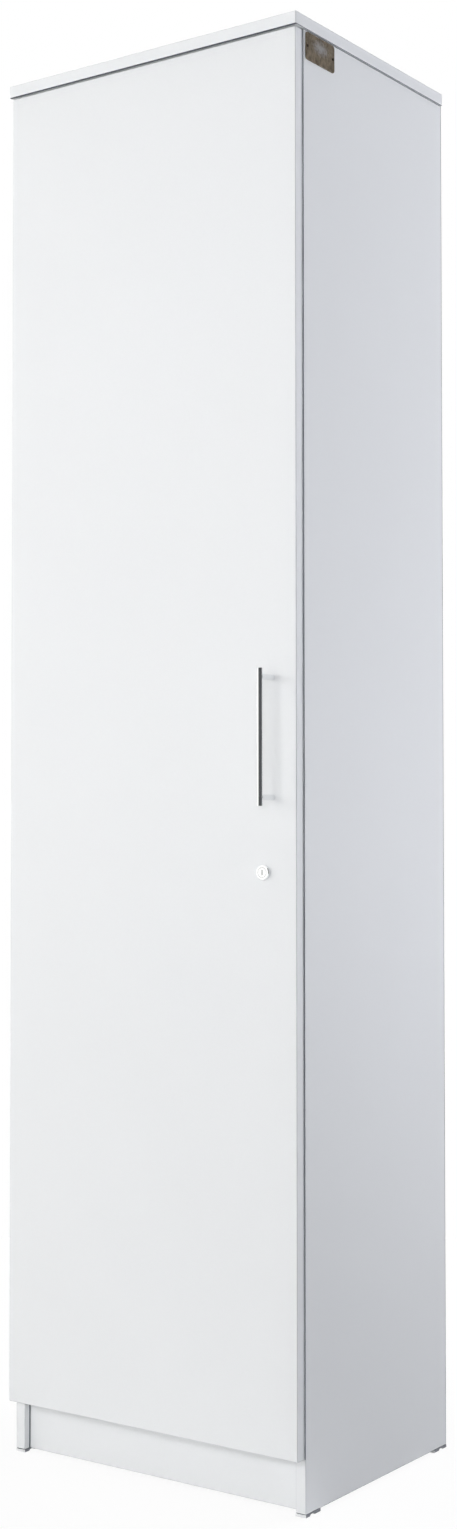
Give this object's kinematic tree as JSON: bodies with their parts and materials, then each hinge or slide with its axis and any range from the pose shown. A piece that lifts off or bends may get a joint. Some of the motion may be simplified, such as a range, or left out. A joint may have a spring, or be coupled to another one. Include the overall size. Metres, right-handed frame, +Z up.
{
  "type": "wardrobe",
  "caption": "Tall narrow wardrobe with a lockable door on concealed hinges, a bar handle, a hat shelf and a clothes rail.",
  "frame": {"origin": "on the floor under the middle of the whole bounding box, handle and top's overhang included", "axes": "+Z up, the door faces -Y, +X is the right side as seen from the front"},
  "size_m": [0.504, 0.4364, 2],
  "materials": {
    "white_laminate": "white melamine laminate on chipboard with matching edging",
    "white_hardboard": "thin white-faced hardboard, satin",
    "bright_chrome": "polished chrome plate",
    "nickel_steel": "nickel-plated pressed steel",
    "zinc_steel": "zinc-plated steel",
    "grey_plastic": "moulded grey plastic glide",
    "clear_rubber": "clear soft door buffer",
    "aged_bronze": "browned bronze badge with a worn raised border",
    "white_plastic": "satin white plastic cover caps"
  },
  "bodies": {
    "carcass": {"back_panel": "white_hardboard", "bottom_panel": "white_laminate", "clothes_rail": "bright_chrome", "foot_back_left": "grey_plastic", "foot_back_right": "grey_plastic", "foot_front_left": "grey_plastic", "foot_front_right": "grey_plastic", "hat_shelf": "white_laminate", "hinge_1_arm": "nickel_steel", "hinge_1_arm_pin": "zinc_steel", "hinge_1_mounting_plate": "nickel_steel", "hinge_2_arm": "nickel_steel", "hinge_2_arm_pin": "zinc_steel", "hinge_2_mounting_plate": "nickel_steel", "hinge_3_arm": "nickel_steel", "hinge_3_arm_pin": "zinc_steel", "hinge_3_mounting_plate": "nickel_steel", "hinge_4_arm": "nickel_steel", "hinge_4_arm_pin": "zinc_steel", "hinge_4_mounting_plate": "nickel_steel", "left_side": "white_laminate", "lock_strike": "zinc_steel", "plinth": "white_laminate", "rail_bracket_back": "zinc_steel", "rail_bracket_front": "zinc_steel", "right_side": "white_laminate", "shelf_support_left_back": "zinc_steel", "shelf_support_left_front": "zinc_steel", "shelf_support_right_back": "zinc_steel", "shelf_support_right_front": "zinc_steel", "top_panel": "white_laminate"},
    "hinge_links": {"hinge_1_link": "nickel_steel", "hinge_2_link": "nickel_steel", "hinge_3_link": "nickel_steel", "hinge_4_link": "nickel_steel"},
    "door": {"door": "white_laminate", "door_buffer_lower": "clear_rubber", "door_buffer_upper": "clear_rubber", "handle_bar": "bright_chrome", "handle_post_lower": "bright_chrome", "handle_post_upper": "bright_chrome", "handle_screw_lower": "zinc_steel", "handle_screw_upper": "zinc_steel", "hinge_1_cup": "nickel_steel", "hinge_1_cup_pin": "zinc_steel", "hinge_2_cup": "nickel_steel", "hinge_2_cup_pin": "zinc_steel", "hinge_3_cup": "nickel_steel", "hinge_3_cup_pin": "zinc_steel", "hinge_4_cup": "nickel_steel", "hinge_4_cup_pin": "zinc_steel", "lock_case": "zinc_steel", "lock_cylinder": "bright_chrome", "lock_plate": "zinc_steel"},
    "lock_plug": {"lock_plug": "bright_chrome"},
    "lock_bolt": {"lock_bolt": "zinc_steel"}
  },
  "joints": [
    {"name": "link_swing", "type": "hinge", "parent": "carcass", "child": "hinge_links", "pos_m": [-0.216, -0.17005, 1], "axis": [0, 0, -1], "range_deg": [-27, 0]},
    {"name": "door_swing", "type": "hinge", "parent": "hinge_links", "child": "door", "pos_m": [-0.2388, -0.1689, 1], "axis": [0, 0, -1], "range_deg": [0, 127]},
    {"name": "lock_plug_turn", "type": "hinge", "parent": "door", "child": "lock_plug", "pos_m": [0.197, -0.18215, 0.847], "axis": [0, -1, 0], "range_deg": [0, 90]},
    {"name": "bolt_slide", "type": "slide", "parent": "door", "child": "lock_bolt", "axis": [1, 0, 0], "range_m": [0, 0.008]}
  ],
  "couplings": [
    {"joint": "link_swing", "follows": "door_swing", "ratio": -0.2126},
    {"joint": "bolt_slide", "follows": "lock_plug_turn", "m_per_rad": 0.0050929}
  ]
}
